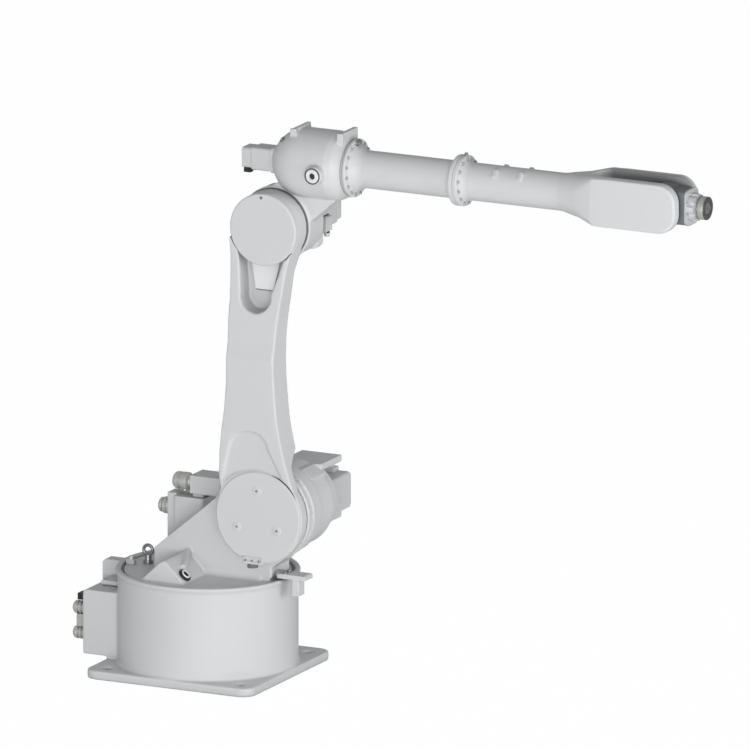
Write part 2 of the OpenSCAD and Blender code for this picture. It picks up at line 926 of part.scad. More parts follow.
module fork_cover(side) {
    at_roll()
        intersection() {
            across(min(side * cheek_out, side * fork_w / 2), max(side * cheek_out, side * fork_w / 2))
                cheek_outline(cover_x, 1);
            cover_room(side);
        }
}

module wrist_cover_near() color(paint) {
    fork_cover(-1);
}

module wrist_cover_far() color(paint) {
    fork_cover(1);
}

module wrist_housing() color(paint) {
    translate([wrist_x, 0, roll_z]) {
        bar_y(54, -wrist_half, wrist_half);
        bar_y(40, -cheek_in + seat_gap, cheek_in - seat_gap);
        along(0, tool_reach - 52)
            round_square(2 * wrist_half, 92, 10);
    }
}

module wrist_nose() color(steel) {
    translate([wrist_x, 0, roll_z]) {
        along(tool_reach - 52, tool_reach - 46)
            round_square(2 * wrist_half, 98, 18);
        // lobed housing with room for the screws
        along(tool_reach - 46, tool_reach - 26)
            difference() {
                circle(37);
                for (a = [0, 45, 90, 135, 180, 225, 270, 315])
                    translate([41 * cos(a + 22.5), 41 * sin(a + 22.5)])
                        circle(9);
            }
        turn_x()
            polygon([[0, tool_reach - 26], [29, tool_reach - 26], [29, tool_reach - tool_t - run_gap],
                [22, tool_reach - tool_t - run_gap], [22, tool_reach - tool_t - seat_gap],
                [0, tool_reach - tool_t - seat_gap]]);
    }
}

module tool_flange() color(steel) {
    at_roll()
        difference() {
            turn_x()
                polygon([[0, tool_face - tool_t], [tool_d / 2 - 1, tool_face - tool_t],
                    [tool_d / 2, tool_face - tool_t + 1], [tool_d / 2, tool_face - 1],
                    [tool_d / 2 - 1, tool_face], [0, tool_face]]);
            bar_x(15.75, tool_face - 6, tool_face + 1);
            for (a = [45, 135, 225, 315])
                translate([0, tool_pcd / 2 * cos(a), tool_pcd / 2 * sin(a)])
                    bar_x(2.5, tool_face - 12, tool_face + 1, $fn = 48);
            translate([0, -tool_pcd / 2, 0])
                bar_x(3, tool_face - 8, tool_face + 1, $fn = 48);
        }
}

base_casting();
chamber_lid();
swing_stop_block();
connector_panel();
power_connector();
signal_connector();
carousel_casting();
cable_gland();
lifting_eye();
limit_dog();
swing_stop_finger();
swing_motor();
swing_motor_cap();
swing_motor_plug();
shoulder_reducer();
shoulder_gear_case();
shoulder_motor();
shoulder_motor_plug();
lower_arm_casting();
shoulder_cover();
elbow_cover();
pocket_plate();
arm_bumper();
elbow_casting();
elbow_gear_case();
elbow_motor();
elbow_motor_plug();
roll_motor();
roll_motor_plug();
oil_plug();
forearm_rear_tube();
forearm_front_tube();
wrist_fork();
wrist_cover_near();
wrist_cover_far();
wrist_housing();
wrist_nose();
tool_flange();
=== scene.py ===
"""Looks of the robot arm: rounded castings, paint, metal, screws and a plain studio."""
import json
import math

import bmesh
import bpy
from mathutils import Matrix, Vector


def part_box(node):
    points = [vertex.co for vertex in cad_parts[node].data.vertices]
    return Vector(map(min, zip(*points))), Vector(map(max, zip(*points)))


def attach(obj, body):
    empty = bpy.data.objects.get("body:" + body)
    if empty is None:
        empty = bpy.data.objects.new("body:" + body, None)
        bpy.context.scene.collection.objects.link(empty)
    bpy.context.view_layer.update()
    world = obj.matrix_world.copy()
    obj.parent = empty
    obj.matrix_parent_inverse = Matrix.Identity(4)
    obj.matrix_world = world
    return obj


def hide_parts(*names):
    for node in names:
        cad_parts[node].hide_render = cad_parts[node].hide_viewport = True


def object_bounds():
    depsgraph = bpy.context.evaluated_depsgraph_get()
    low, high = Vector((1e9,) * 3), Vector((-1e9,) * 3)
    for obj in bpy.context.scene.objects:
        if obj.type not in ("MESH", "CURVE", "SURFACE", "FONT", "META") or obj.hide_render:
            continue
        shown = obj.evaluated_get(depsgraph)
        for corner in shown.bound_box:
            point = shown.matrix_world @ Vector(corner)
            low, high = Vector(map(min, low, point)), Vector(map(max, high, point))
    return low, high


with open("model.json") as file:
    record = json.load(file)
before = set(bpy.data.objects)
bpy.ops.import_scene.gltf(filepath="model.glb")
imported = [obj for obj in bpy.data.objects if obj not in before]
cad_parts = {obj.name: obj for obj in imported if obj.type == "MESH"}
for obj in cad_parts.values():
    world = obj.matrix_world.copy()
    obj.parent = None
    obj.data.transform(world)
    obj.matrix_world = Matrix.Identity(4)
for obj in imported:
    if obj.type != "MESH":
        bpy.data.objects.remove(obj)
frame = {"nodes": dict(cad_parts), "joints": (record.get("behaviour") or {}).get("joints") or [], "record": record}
cad_low, cad_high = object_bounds()
nodes = frame["nodes"]
scene = bpy.context.scene

# places on the machine, in metres, taken from the frame
MM = 0.001
axis_at = {joint["name"]: Vector(joint["pos_m"]) for joint in frame["joints"]}
bodies = frame["record"]["behaviour"]["bodies"]
body_of_node = {node: body for body, members in bodies.items() for node in members}
slot_of_node = {part["node"]: part["material_slot"] for part in frame["record"]["subparts"]}
SHOULDER = axis_at["shoulder"]
ELBOW = axis_at["elbow"]
ROLL = axis_at["forearm_roll"]
WRIST = axis_at["wrist_bend"]

FORWARD = (1, 0, 0)
NEAR = (0, -1, 0)
FAR = (0, 1, 0)
UP = (0, 0, 1)
DOWN = (0, 0, -1)

# viewing angle of the photograph
VIEW_AZIMUTH = 26.57
VIEW_ELEVATION = 13.72
VIEW_TARGET = Vector((0.501, 0, 0.8648))
VIEW_DISTANCE = 90.0
IMAGE_SIDE_PX = 750
PX_PER_METRE = 374.1
SENSOR_MM = 36.0

# lean of the cable outlet's face, in degrees above the horizontal
PORT_TILT = 45.5


# Shader helpers

def new_material(name):
    material = bpy.data.materials.new(name)
    material.use_nodes = True
    return material, material.node_tree, material.node_tree.nodes["Principled BSDF"]


def noise(tree, scale, detail=3.0, stretch=(1, 1, 1)):
    """Noise in the piece's own coordinates, so it stays on the piece when the arm moves."""
    coordinates = tree.nodes.new("ShaderNodeTexCoord")
    mapping = tree.nodes.new("ShaderNodeMapping")
    mapping.inputs["Scale"].default_value = stretch
    texture = tree.nodes.new("ShaderNodeTexNoise")
    texture.inputs["Scale"].default_value = scale
    texture.inputs["Detail"].default_value = detail
    tree.links.new(coordinates.outputs["Object"], mapping.inputs["Vector"])
    tree.links.new(mapping.outputs["Vector"], texture.inputs["Vector"])
    return texture.outputs["Fac"]


def spread(tree, value, low, high, start=0.3, end=0.7):
    """Maps a value between start and end to the range from low to high."""
    node = tree.nodes.new("ShaderNodeMapRange")
    node.inputs["From Min"].default_value = start
    node.inputs["From Max"].default_value = end
    node.inputs["To Min"].default_value = low
    node.inputs["To Max"].default_value = high
    tree.links.new(value, node.inputs["Value"])
    return node.outputs["Result"]


def times(tree, a, b):
    node = tree.nodes.new("ShaderNodeMath")
    node.operation = "MULTIPLY"
    tree.links.new(a, node.inputs[0])
    tree.links.new(b, node.inputs[1])
    return node.outputs["Value"]


def blend_colour(tree, factor, first, second):
    """Colour that goes from first to second; each is a tuple or a socket."""
    node = tree.nodes.new("ShaderNodeMix")
    node.data_type = "RGBA"
    tree.links.new(factor, node.inputs["Factor"])
    for socket, colour in ((node.inputs[6], first), (node.inputs[7], second)):
        if isinstance(colour, tuple):
            socket.default_value = (*colour, 1)
        else:
            tree.links.new(colour, socket)
    return node.outputs[2]


def edge_mask(tree, radius):
    """1 on sharp outer and inner edges, 0 on open faces."""
    bevel = tree.nodes.new("ShaderNodeBevel")
    bevel.samples = 4
    bevel.inputs["Radius"].default_value = radius
    geometry = tree.nodes.new("ShaderNodeNewGeometry")
    dot = tree.nodes.new("ShaderNodeVectorMath")
    dot.operation = "DOT_PRODUCT"
    tree.links.new(bevel.outputs["Normal"], dot.inputs[0])
    tree.links.new(geometry.outputs["Normal"], dot.inputs[1])
    return spread(tree, dot.outputs["Value"], 0, 1, 0.98, 0.8)


def crevice_mask(tree, distance, closed=0.25, opened=0.85):
    """1 in narrow corners and hollows, where dust gathers and shade falls, 0 on open faces."""
    occlusion = tree.nodes.new("ShaderNodeAmbientOcclusion")
    occlusion.samples = 6
    occlusion.inputs["Distance"].default_value = distance
    return spread(tree, occlusion.outputs["AO"], 1, 0, closed, opened)


def add_bump(tree, shader, layers):
    """Stacks bump layers, each a height socket, a strength and a depth in metres."""
    last = None
    for height, strength, depth in layers:
        bump = tree.nodes.new("ShaderNodeBump")
        bump.inputs["Strength"].default_value = strength
        bump.inputs["Distance"].default_value = depth
        tree.links.new(height, bump.inputs["Height"])
        if last is not None:
            tree.links.new(last, bump.inputs["Normal"])
        last = bump.outputs["Normal"]
    tree.links.new(last, shader.inputs["Normal"])


def scaled(colour, factor):
    return tuple(min(1.0, channel * factor) for channel in colour)


# Materials

def paint(name, colour, rough):
    """Satin enamel on a casting: faint tone changes, orange peel, rubbed edges, dust and painted shade in corners,
    painted shade in hollows.
    """
    material, tree, shader = new_material(name)
    tone = blend_colour(tree, noise(tree, 3.0, 4), scaled(colour, 0.965), scaled(colour, 1.03))
    speck = spread(tree, noise(tree, 240, 2), 0, 0.1, 0.6, 0.75)
    tone = blend_colour(tree, speck, tone, scaled(colour, 0.8))
    rubbed = times(tree, edge_mask(tree, 0.003), spread(tree, noise(tree, 70, 3), 0.1, 0.55))
    tone = blend_colour(tree, rubbed, tone, scaled(colour, 1.16))
    # dust and painted shade darken the narrow corners
    dust_and_shade = times(tree, crevice_mask(tree, 0.016), spread(tree, noise(tree, 45, 4), 0.15, 0.5))
    tone = blend_colour(tree, dust_and_shade, tone, scaled(colour, 0.55))
    # painted shade: hollows that little light reaches are darkened strongly
    painted_shade = times(tree, crevice_mask(tree, 0.07, 0.1, 0.6), spread(tree, noise(tree, 9, 3), 0.55, 0.9))
    tone = blend_colour(tree, painted_shade, tone, scaled(colour, 0.28))
    tree.links.new(tone, shader.inputs["Base Color"])
    tree.links.new(spread(tree, noise(tree, 24, 4), rough - 0.05, rough + 0.07), shader.inputs["Roughness"])
    shader.inputs["Specular IOR Level"].default_value = 0.22
    add_bump(tree, shader, [(noise(tree, 34, 2), 0.12, 0.0012), (noise(tree, 520, 2), 0.1, 0.0004)])
    return material


def beyond(tree, letter, limit, width=0.0004, mirrored=False):
    """1 where the piece's own X, Y or Z passes a limit; mirrored compares its size without the sign."""
    coordinates = tree.nodes.new("ShaderNodeTexCoord")
    parts = tree.nodes.new("ShaderNodeSeparateXYZ")
    tree.links.new(coordinates.outputs["Object"], parts.inputs["Vector"])
    value = parts.outputs[letter]
    if mirrored:
        size = tree.nodes.new("ShaderNodeMath")
        size.operation = "ABSOLUTE"
        tree.links.new(value, size.inputs[0])
        value = size.outputs["Value"]
    return spread(tree, value, 0, 1, limit - width, limit + width)


def repainted(material, mask, colour, rough):
    """Gives the masked part of a material another colour and gloss."""
    tree = material.node_tree
    shader = tree.nodes["Principled BSDF"]
    area = mask(tree)
    tone = blend_colour(tree, noise(tree, 90, 4), scaled(colour, 0.88), scaled(colour, 1.12))
    old_colour = shader.inputs["Base Color"].links[0].from_socket
    tree.links.new(blend_colour(tree, area, old_colour, tone), shader.inputs["Base Color"])
    gloss = tree.nodes.new("ShaderNodeMix")
    tree.links.new(area, gloss.inputs["Factor"])
    tree.links.new(shader.inputs["Roughness"].links[0].from_socket, gloss.inputs["A"])
    gloss.inputs["B"].default_value = rough
    tree.links.new(gloss.outputs["Result"], shader.inputs["Roughness"])
    return material


def turned_metal(name, colour, rough, grain, metallic=0.85):
    """Bare machined metal with fine tool marks and darker corners."""
    material, tree, shader = new_material(name)
    marks = noise(tree, 60, 3, grain)
    tone = blend_colour(tree, marks, scaled(colour, 0.8), scaled(colour, 1.12))
    # darker in narrow corners
    darker_corners = times(tree, crevice_mask(tree, 0.006), spread(tree, noise(tree, 120, 3), 0.3, 0.8))
    tone = blend_colour(tree, darker_corners, tone, scaled(colour, 0.35))
    tree.links.new(tone, shader.inputs["Base Color"])
    shader.inputs["Metallic"].default_value = metallic
    tree.links.new(spread(tree, marks, rough - 0.07, rough + 0.1), shader.inputs["Roughness"])
    add_bump(tree, shader, [(marks, 0.08, 0.0002)])
    return material


def moulded(name, colour, rough):
    """Dark plastic or rubber with a fine grain and pale rubbed edges."""
    material, tree, shader = new_material(name)
    tone = blend_colour(tree, noise(tree, 30, 4), scaled(colour, 0.75), scaled(colour, 1.35))
    rubbed = times(tree, edge_mask(tree, 0.0015), spread(tree, noise(tree, 150, 3), 0, 0.5))
    tone = blend_colour(tree, rubbed, tone, scaled(colour, 3.0))
    tree.links.new(tone, shader.inputs["Base Color"])
    tree.links.new(spread(tree, noise(tree, 90, 3), rough - 0.08, rough + 0.08), shader.inputs["Roughness"])
    add_bump(tree, shader, [(noise(tree, 900, 2), 0.15, 0.0003)])
    return material


PALE_GREY = (0.66, 0.668, 0.672)
finish = {
    "paint_base": paint("pale_enamel_base", scaled(PALE_GREY, 0.98), 0.42),
    "paint_arm": paint("pale_enamel_arm", PALE_GREY, 0.38),
    "paint_motor": paint("motor_enamel", scaled(PALE_GREY, 0.97), 0.45),
    "paint_wrist": paint("dark_grey_enamel", (0.17, 0.18, 0.19), 0.38),
    "bright_metal": turned_metal("bright_metal", (0.66, 0.66, 0.64), 0.42, (1, 14, 14), 0.5),
    "tool_steel": turned_metal("tool_steel", (0.62, 0.6, 0.56), 0.4, (14, 1, 1), 0.6),
    "black_plastic": moulded("black_plastic", (0.02, 0.02, 0.021), 0.5),
    "black_rubber": moulded("black_rubber", (0.016, 0.016, 0.016), 0.65),
}
finish["screw"] = turned_metal("screw_steel", (0.36, 0.37, 0.38), 0.36, (6, 6, 6))
finish["white_band"] = moulded("white_band", (0.82, 0.82, 0.81), 0.4)
finish["nose"] = turned_metal("cast_alloy", (0.56, 0.57, 0.58), 0.55, (8, 8, 8), 0.15)
finish["plate"] = paint("plate_enamel", scaled(PALE_GREY, 1.28), 0.36)
finish["eye"] = turned_metal("eye_steel", (0.34, 0.35, 0.35), 0.4, (6, 6, 6))
finish["painted_screw"] = paint("screw_enamel", scaled(PALE_GREY, 0.74), 0.42)

# the slot of the fork is dark grey inside, its own paint with painted shade on it, fading out over the far cheek;
# the face of the tool flange is dark grey too
slot_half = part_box("wrist_housing")[1].y + 0.3 * MM
slot_start = WRIST.x - 190 * MM


def fork_slot(tree):
    lengthways = beyond(tree, "X", slot_start, 14 * MM)
    past_near = beyond(tree, "Y", -slot_half - 2.5 * MM, 0.8 * MM)
    # painted shade that fades out over the far cheek
    far_cheek_shade_fade = spread(tree, beyond(tree, "Y", slot_half + 12 * MM, 9 * MM), 1, 0, 0, 1)
    return times(tree, lengthways, times(tree, past_near, far_cheek_shade_fade))


finish["fork"] = repainted(paint("pale_enamel_fork", PALE_GREY, 0.38), fork_slot, (0.3, 0.31, 0.315), 0.24)


def tool_face(tree):
    return beyond(tree, "X", cad_high[0] - 1.4 * MM)


repainted(finish["tool_steel"], tool_face, (0.12, 0.125, 0.125), 0.42)

# nodes whose finish differs from that of their slot
special_finish = {
    "wrist_fork": "fork", "pocket_plate": "plate", "lifting_eye": "eye", "oil_plug": "white_band",
    "wrist_nose": "nose", "arm_bumper": "paint_wrist",
}


# Mesh helpers

def link_piece(name, mesh, body, slot, material=None):
    piece = bpy.data.objects.new(name, mesh)
    scene.collection.objects.link(piece)
    mesh.materials.clear()
    mesh.materials.append(material or finish[slot])
    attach(piece, body)
    return piece


def rounded_copy(members, voxel, passes, keep, drawn=None):
    """A casting with soft edges that stands for CAD nodes: a fine remesh, smoothed and thinned out.
    Solids drawn in another bmesh take the place of the CAD shapes."""
    first = members[0]
    bm = drawn or bmesh.new()
    for node in members if drawn is None else ():
        bm.from_mesh(nodes[node].data)
    mesh = bpy.data.meshes.new("worker")
    bm.to_mesh(mesh)
    bm.free()
    worker = bpy.data.objects.new("worker", mesh)
    scene.collection.objects.link(worker)
    weld = worker.modifiers.new("weld", "WELD")
    weld.merge_threshold = 0.00002
    remesh = worker.modifiers.new("remesh", "REMESH")
    remesh.mode = "VOXEL"
    remesh.voxel_size = voxel
    remesh.use_smooth_shade = True
    smooth = worker.modifiers.new("smooth", "SMOOTH")
    smooth.factor = 0.5
    smooth.iterations = passes
    thin = worker.modifiers.new("thin", "DECIMATE")
    thin.ratio = keep
    bpy.context.view_layer.update()
    evaluated = worker.evaluated_get(bpy.context.evaluated_depsgraph_get())
    final = bpy.data.meshes.new_from_object(evaluated)
    bpy.data.objects.remove(worker)
    bpy.data.meshes.remove(mesh)
    final.name = first + "_cast"
    for polygon in final.polygons:
        polygon.use_smooth = True
    material = finish[special_finish.get(first, slot_of_node[first])]
    piece = link_piece(first + "_cast", final, body_of_node[first], slot_of_node[first], material)
    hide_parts(*members)
    return piece


HEX_TURN = math.radians(60)


def hex_radius(across_flats, angle):
    """Radius at an angle of a hexagon of that width across its flats."""
    return across_flats / 2 / math.cos((angle % HEX_TURN) - HEX_TURN / 2)


def lathe(bm, place, profile, sides=24, is_ring=False):
    """Turns a profile of (radius, height) about Z and puts it at place.
    A third value of True makes a hexagon. A ring joins its last circle to its first, any other
    profile is closed by flat ends."""
    rings = []
    for radius, height, *is_hex in profile:
        ring = []
        for k in range(sides):
            angle = math.tau * k / sides
            r = hex_radius(2 * radius, angle) if is_hex and is_hex[0] else radius
            ring.append(bm.verts.new(place @ Vector((r * math.cos(angle), r * math.sin(angle), height))))
        rings.append(ring)
    for low, high in zip(rings, rings[1:] + rings[:1] if is_ring else rings[1:]):
        for k in range(sides):
            bm.faces.new((low[k], low[(k + 1) % sides], high[(k + 1) % sides], high[k]))
    if not is_ring:
        bm.faces.new(tuple(reversed(rings[0])))
        bm.faces.new(tuple(rings[-1]))


def box_at(bm, low, high):
    """A plain box between two corners."""
    size = Vector(high) - Vector(low)
    middle = (Vector(high) + Vector(low)) / 2
    bmesh.ops.create_cube(bm, size=1, matrix=Matrix.Translation(middle) @ Matrix.Diagonal((*size, 1)))


def facing(point, direction):
    """A placing at a point whose own Z looks along a direction."""
    turn = Vector(direction).to_track_quat("Z", "Y").to_matrix().to_4x4()
    return Matrix.Translation(Vector(point)) @ turn


def cap_screw(bm, place, head_r, head_h):
    """Socket-head screw: knurl-free head with a chamfer, a hexagon socket and a washer."""
    lathe(bm, place, [
        (head_r * 1.35, -0.0005), (head_r * 1.35, head_h * 0.16), (head_r * 1.25, head_h * 0.22),
        (head_r, head_h * 0.22), (head_r, head_h * 0.86), (head_r * 0.88, head_h),
        (head_r * 0.55, head_h), (head_r * 0.48, head_h * 0.96, True), (head_r * 0.46, head_h * 0.45, True),
        (head_r * 0.2, head_h * 0.4)])


def flat_screw(bm, place, head_r, head_h):
    """Low round screw with a hexagon socket."""
    lathe(bm, place, [
        (head_r, -0.0005), (head_r, head_h * 0.5), (head_r * 0.85, head_h), (head_r * 0.5, head_h),
        (head_r * 0.45, head_h * 0.95, True), (head_r * 0.42, head_h * 0.1, True), (head_r * 0.15, 0.0)])


def joined(name, bm, body, slot, material=None, smooth_angle=35):
    """Makes one piece from what has been drawn in bm."""
    bmesh.ops.recalc_face_normals(bm, faces=bm.faces)
    mesh = bpy.data.meshes.new(name)
    bm.to_mesh(mesh)
    bm.free()
    mesh.shade_smooth()
    mesh.set_sharp_from_angle(angle=math.radians(smooth_angle))
    return link_piece(name, mesh, body, slot, material)


def ring_places(centre, along, radius, count, start_deg=0.0):
    """Placings on a circle about the X or Y axis, looking along that axis."""
    along = Vector(along)
    first = Vector((0, 0, 1))
    second = along.cross(first)
    for k in range(count):
        angle = math.radians(start_deg) + math.tau * k / count
        yield facing(centre + radius * (math.cos(angle) * first + math.sin(angle) * second), along)


# Castings and housings with soft edges: node, voxel, smoothing passes, share of faces kept
soft_castings = [
    ("base_casting", 2.8, 8, 0.22), ("carousel_casting", 2.6, 5, 0.3), ("lower_arm_casting", 2.6, 8, 0.35),
    ("elbow_casting", 2.0, 5, 0.3), ("shoulder_motor", 1.8, 4, 0.3),
    ("elbow_gear_case", 1.4, 3, 0.25), ("elbow_motor", 1.4, 3, 0.25), ("roll_motor", 1.2, 4, 0.3),
    ("swing_motor", 1.6, 4, 0.3), ("swing_motor_cap", 1.4, 8, 0.3), ("swing_stop_finger", 1.2, 4, 0.35),
    ("swing_stop_block", 1.2, 5, 0.35), ("chamber_lid", 1.2, 4, 0.35), ("limit_dog", 0.8, 5, 0.4),
    ("forearm_rear_tube", 1.8, 3, 0.3), ("forearm_front_tube", 1.8, 3, 0.3), ("wrist_housing", 1.2, 4, 0.3),
    ("shoulder_cover", 1.4, 3, 0.25), ("elbow_cover", 1.4, 4, 0.3), ("shoulder_reducer", 1.8, 3, 0.3),
    ("shoulder_motor_plug", 0.8, 4, 0.4),
]
for node, voxel_mm, passes, keep in soft_castings:
    rounded_copy((node,), voxel_mm * MM, passes, keep)


def eased(value, start, end):
    """Goes smoothly from 0 at start to 1 at end."""
    share = min(1.0, max(0.0, (value - start) / (end - start)))
    return share * share * (3 - 2 * share)


def trim_arm(mesh):
    """Draws the arm's edges to the photograph: a wider foot behind, a fuller waist in front."""
    behind, in_front = -1, 1
    # side, heights where a change starts, is full, begins to fade and ends, and its amount
    changes = [
        (behind, 0.5, 0.6, 0.64, 0.83, 0.013),
        (behind, 1.0, 1.1, 1.17, 1.23, -0.005),
        (in_front, 0.72, 0.84, 1.06, 1.16, 0.006),
    ]
    for vertex in mesh.vertices:
        place = vertex.co.copy()
        for side, start, full, full_end, end, amount in changes:
            height = eased(place.z, start, full) * (1 - eased(place.z, full_end, end))
            sideways = eased(side * (place.x - SHOULDER.x), 0.015, 0.075)
            vertex.co.x += side * amount * height * sideways


trim_arm(bpy.data.meshes["lower_arm_casting_cast"])


def prism(bm, profile, y0, y1):
    """Convex solid with an outline of X and Z about the shoulder and two values of Y, in millimetres."""
    corners = [(SHOULDER.x + x * MM, y * MM, SHOULDER.z + z * MM) for y in (y0, y1) for x, z in profile]
    bmesh.ops.convex_hull(bm, input=[bm.verts.new(corner) for corner in corners])


def gear_case():
    """Gear case of the shoulder as the photograph shows it: full hub, flat saddle, lip over the motor."""
    near_end = -14.7
    hub = facing((SHOULDER.x, near_end * MM, SHOULDER.z), FAR)
    bm = bmesh.new()
    for radius, length in ((120, 80), (106, 129.7)):
        lathe(bm, hub, [(radius * MM, 0), (radius * MM, length * MM)], 128)
    saddle = ((-40, 50), (-40, 110), (64, 110), (95, 88), (84, 60))
    prism(bm, saddle, near_end, 72)
    lip = ((-35, 88), (-35, 110), (85, 110), (85, 94), (77, 88))
    prism(bm, lip, 60, 184)
    bmesh.ops.recalc_face_normals(bm, faces=bm.faces)
    rounded_copy(("shoulder_gear_case",), 1.6 * MM, 4, 0.25, bm)


gear_case()

# the fork and its covers blend into one soft shape
fork_members = ("wrist_fork", "wrist_cover_near", "wrist_cover_far")
rounded_copy(fork_members, 2 * MM, 26, 0.3)

# Machined and moulded pieces keep their CAD shape, with finely bevelled edges
softened = {node for node, *_ in soft_castings}.union(fork_members, ("shoulder_gear_case",))
for node, part in nodes.items():
    if node in softened:
        continue
    part.data.materials.clear()
    part.data.materials.append(finish[special_finish.get(node, slot_of_node[node])])
    weld = part.modifiers.new("weld", "WELD")
    weld.merge_threshold = 0.00002
    bevel = part.modifiers.new("edge", "BEVEL")
    bevel.width = 0.0006
    bevel.segments = 2
    bevel.limit_method = "ANGLE"
    bevel.angle_limit = math.radians(40)


# Screws, plugs and other small pieces

def screws(name, body, places, head_r, head_h, draw=cap_screw, look="screw"):
    """One piece made of like screws, sizes in millimetres."""
    bm = bmesh.new()
    for place in places:
        draw(bm, place, head_r * MM, head_h * MM)
    return joined(name, bm, body, "bright_metal", finish[look])


def corner_places(low, high, inset, side):
    """Placings near the corners of one side of a box; side is an axis letter with a sign."""
    letter = "xyz".index(side[1])
    sign = 1 if side[0] == "+" else -1
    across = [k for k in range(3) if k != letter]
    direction = Vector((0, 0, 0))
    direction[letter] = sign
    for a in (low[across[0]] + inset, high[across[0]] - inset):
        for b in (low[across[1]] + inset, high[across[1]] - inset):
            point = Vector((0, 0, 0))
            point[letter] = high[letter] if sign > 0 else low[letter]
            point[across[0]] = a
            point[across[1]] = b
            yield facing(point, direction)


# circles on which the screws stand, in millimetres
ROOT_CIRCLE_R = 72
MID_CIRCLE_R = 61.5
COVER_CIRCLE_R = 69
NOSE_CIRCLE_R = 41

root_face = Vector((ROLL.x + 10 * MM, 0, ROLL.z))
root_places = ring_places(root_face, FORWARD, ROOT_CIRCLE_R * MM, 16, 11)
screws("root_flange_screws", "forearm", root_places, 4.0, 4, cap_screw, "painted_screw")
mid_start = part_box("forearm_front_tube")[0].x
mid_face = Vector((mid_start + 14 * MM, 0, ROLL.z))
mid_places = ring_places(mid_face, FORWARD, MID_CIRCLE_R * MM, 14, 5)
screws("mid_flange_screws", "forearm", mid_places, 4.0, 5, cap_screw, "painted_screw")

cover_face = Vector((SHOULDER.x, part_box("shoulder_cover")[0].y, SHOULDER.z))
boss_centre = cover_face + Vector((-3 * MM, 0, 4 * MM))
boss_places = ring_places(boss_centre, NEAR, COVER_CIRCLE_R * MM, 3)
screws("shoulder_cover_screws", "lower_arm", boss_places, 3.2, 0.8, flat_screw)
lug_face = cover_face + Vector((0, 1.6 * MM, -121 * MM))
lug_places = [facing(lug_face + Vector((dx * MM, 0, 0)), NEAR) for dx in (-38, -18, 2)]
screws("stop_lug_screws", "lower_arm", lug_places, 2.6, 1.4, flat_screw)
cap_face = Vector((ELBOW.x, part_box("elbow_cover")[0].y, ELBOW.z))
cap_place = facing(cap_face + Vector((-4 * MM, 0, 88 * MM)), NEAR)
screws("elbow_cover_screws", "lower_arm", [cap_place], 4, 1.6, flat_screw)

finger_low, finger_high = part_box("swing_stop_finger")
finger_rows = (finger_low.y + 12 * MM, finger_high.y - 12 * MM)
finger_places = [facing((finger_low.x + 34 * MM, y, finger_high.z), UP) for y in finger_rows]
screws("stop_finger_screws", "carousel", finger_places, 5, 6)
lid_places = corner_places(*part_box("chamber_lid"), 9 * MM, "+z")
screws("chamber_lid_screws", "base", lid_places, 3.5, 2, flat_screw)
panel_low, panel_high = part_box("connector_panel")
panel_low.x = panel_high.x - 12 * MM
panel_places = corner_places(panel_low, panel_high, 9 * MM, "-x")
screws("connector_panel_screws", "base", panel_places, 3.5, 2, flat_screw)
screws("elbow_motor_screws", "elbow", corner_places(*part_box("elbow_motor"), 16 * MM, "+y"), 3.6, 4)
motor_low, motor_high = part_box("shoulder_motor")
motor_low.z = motor_high.z - 96 * MM
screws("shoulder_motor_screws", "carousel", corner_places(motor_low, motor_high, 16 * MM, "+y"), 3.6, 4)
screws("roll_motor_screws", "elbow", corner_places(*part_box("roll_motor"), 12 * MM, "-x"), 2.6, 3)
swing_places = corner_places(*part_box("swing_motor_cap"), 10 * MM, "+z")
screws("swing_motor_screws", "carousel", swing_places, 3, 2, flat_screw)

nose_plate = Vector((WRIST.x + 82 * MM, 0, WRIST.z))
nose_places = ring_places(nose_plate, FORWARD, NOSE_CIRCLE_R * MM, 8, 22.5)
screws("wrist_nose_screws", "wrist", nose_places, 3.0, 4, cap_screw, "nose")


def cable_band():
    """Pale ring on the dark cable outlet, which also stands as a painted highlight on its ridges."""
    low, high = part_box("cable_gland")
    tilt = math.radians(PORT_TILT)
    direction = Vector((math.cos(tilt), 0, math.sin(tilt)))
    # the gland reaches 20 mm below and 5 mm above its seat
    seat = (low + high) / 2 + direction * 7.5 * MM
    bm = bmesh.new()
    # pale ring, also a painted highlight on the outlet's ridges
    lathe(bm, facing(seat, direction), [
        (9.2 * MM, 4.8 * MM), (9.2 * MM, 7 * MM), (10 * MM, 7.6 * MM), (12.6 * MM, 7.6 * MM),
        (13.4 * MM, 6.8 * MM), (13.4 * MM, 4.8 * MM)], 40, True)
    return joined("cable_outlet_band", bm, "carousel", "black_plastic", finish["white_band"])


cable_band()


def plug_core():
    """Dark socket in the middle of the oil plug and a dark sealing ring around it, which also paints the shade in
    the gap around the plug.
    """
    low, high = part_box("oil_plug")
    face = Vector(((low.x + high.x) / 2, low.y, (low.z + high.z) / 2))
    place = facing(face, NEAR)
    radius = (high.x - low.x) / 2
    bm = bmesh.new()
    lathe(bm, place, [(8.9 * MM, -10.5 * MM), (8.9 * MM, -6 * MM), (7 * MM, -5.4 * MM)], 32)
    lathe(bm, place, [(5 * MM, -6 * MM), (5 * MM, -4 * MM), (3 * MM, -3.6 * MM)], 24)
    # sealing ring, also painted shade in the gap around the plug
    lathe(bm, place, [
        (radius - 0.4 * MM, -4 * MM), (radius - 0.4 * MM, -1.4 * MM), (radius + 1 * MM, -0.8 * MM),
        (radius + 2.4 * MM, -1.4 * MM), (radius + 2.4 * MM, -4 * MM)], 48, True)
    return joined("oil_plug_core", bm, "elbow", "black_plastic")


plug_core()


def tool_core():
    """Dark insert in the bore of the tool flange."""
    face = Vector((cad_high[0], 0, WRIST.z))
    bm = bmesh.new()
    lathe(bm, facing(face, FORWARD), [
        (15.6 * MM, -6.2 * MM), (15.6 * MM, -1.4 * MM), (14.8 * MM, -0.8 * MM), (4 * MM, -0.8 * MM),
        (3.6 * MM, -3 * MM)], 48)
    return joined("tool_flange_core", bm, "tool", "black_plastic", finish["paint_wrist"])


tool_core()


